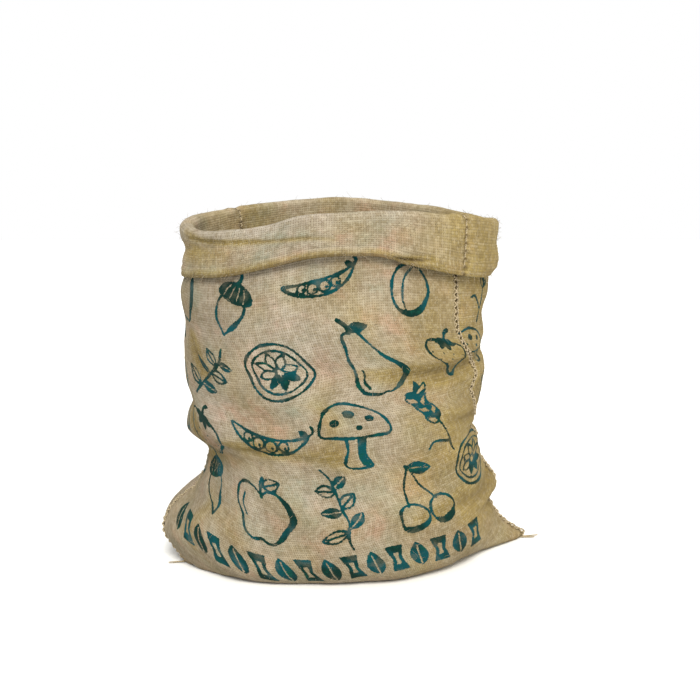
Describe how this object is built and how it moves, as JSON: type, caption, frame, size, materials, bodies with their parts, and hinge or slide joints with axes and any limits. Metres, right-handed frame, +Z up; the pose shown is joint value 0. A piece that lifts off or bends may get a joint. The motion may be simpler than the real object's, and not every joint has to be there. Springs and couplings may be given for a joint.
{
  "type": "burlap bag",
  "caption": "Jute sack standing open on its folded base, its mouth turned down as a cuff, with chain-stitched side seams and two drawn-out base corners.",
  "frame": {"origin": "middle of the sack's box, on the floor it stands on", "axes": "+Z up, the printed front faces -Y, +X towards the drawn-out right corner"},
  "size_m": [0.4042, 0.3, 0.3702],
  "materials": {
    "jute_hessian": "coarse plain weave of unbleached jute yarn, printed in dark teal",
    "jute_twine": "unbleached two-ply jute sewing twine"
  },
  "bodies": {
    "root": {"sack_cloth": "jute_hessian", "seam_twine_left": "jute_twine", "seam_twine_right": "jute_twine", "cuff_twine_left": "jute_twine", "cuff_twine_right": "jute_twine"}
  },
  "joints": []
}
